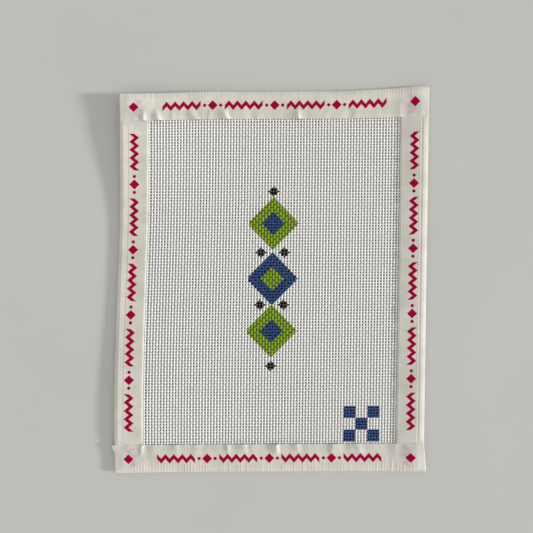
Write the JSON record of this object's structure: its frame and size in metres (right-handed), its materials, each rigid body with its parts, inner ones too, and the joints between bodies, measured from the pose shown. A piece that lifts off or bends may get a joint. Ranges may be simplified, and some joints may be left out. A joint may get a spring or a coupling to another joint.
{
  "type": "needlepoint canvas",
  "caption": "Flat cut of open woven needlepoint canvas with its raw edges bound in folded printed tape and a motif painted on the threads, ready to be stitched.",
  "frame": {"origin": "centre of the footprint, on the surface that the doubled corners of the tape lie on", "axes": "+X to the right of the motif, +Y towards its top along the warp, +Z out of the painted face"},
  "size_m": [0.2048, 0.256, 0.0021],
  "materials": {
    "canvas_yarn": "matte sized cotton",
    "binding_tape": "satin woven tape, ivory",
    "paint_lime": "matte acrylic paint",
    "paint_blue": "matte acrylic paint",
    "paint_black": "matte acrylic paint",
    "tape_ink": "printed ink"
  },
  "bodies": {
    "root": {"warp_threads": "canvas_yarn", "weft_threads": "canvas_yarn", "tape_left": "binding_tape", "tape_right": "binding_tape", "tape_top": "binding_tape", "tape_bottom": "binding_tape", "paint_lime": "paint_lime", "paint_blue": "paint_blue", "paint_black": "paint_black", "tape_ink": "tape_ink"}
  },
  "joints": []
}
